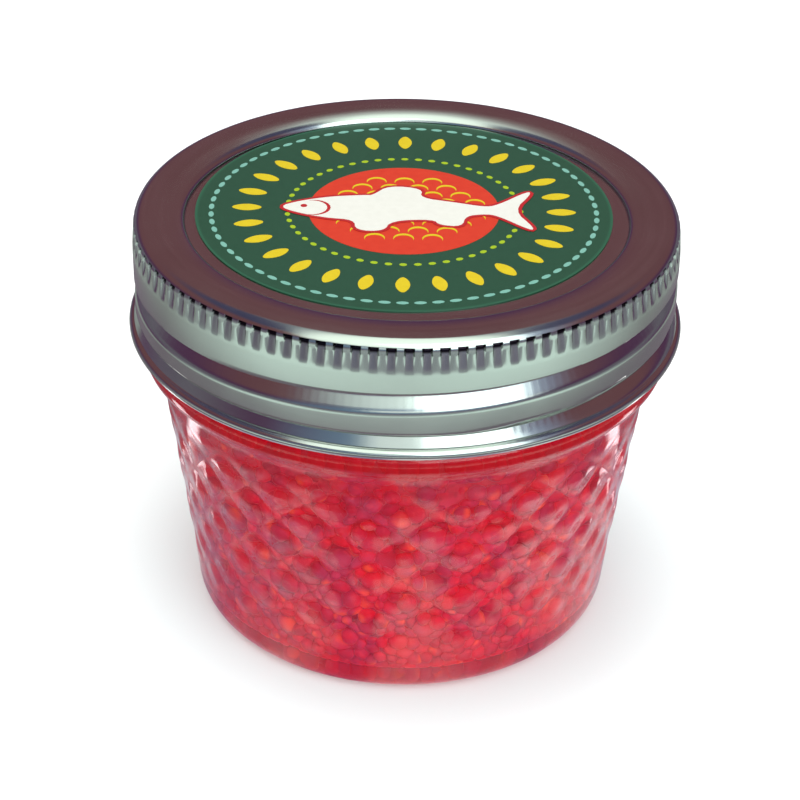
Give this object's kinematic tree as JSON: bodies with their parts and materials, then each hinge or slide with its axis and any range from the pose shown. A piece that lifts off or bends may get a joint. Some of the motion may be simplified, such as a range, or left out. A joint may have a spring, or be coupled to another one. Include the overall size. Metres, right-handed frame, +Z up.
{
  "type": "jar of salmon roe",
  "caption": "Shut clear glass jar with quilted sides, filled with salmon roe, under a knurled metal screw cap with a round lid label.",
  "frame": {"origin": "middle of the circle the jar stands on", "axes": "+Z up through the lid, -Y towards the person for whom the lid label is upright"},
  "size_m": [0.0748, 0.0748, 0.0586],
  "materials": {
    "clear_glass": "clear pressed glass",
    "salmon_roe": "wet, translucent red",
    "tinplate": "bright tinplate, a little softened",
    "green_label": "glossy printed paper"
  },
  "bodies": {
    "root": {"glass_jar": "clear_glass", "salmon_roe": "salmon_roe", "lid_disc": "tinplate", "lid_label": "green_label", "screw_band": "tinplate"}
  },
  "joints": []
}
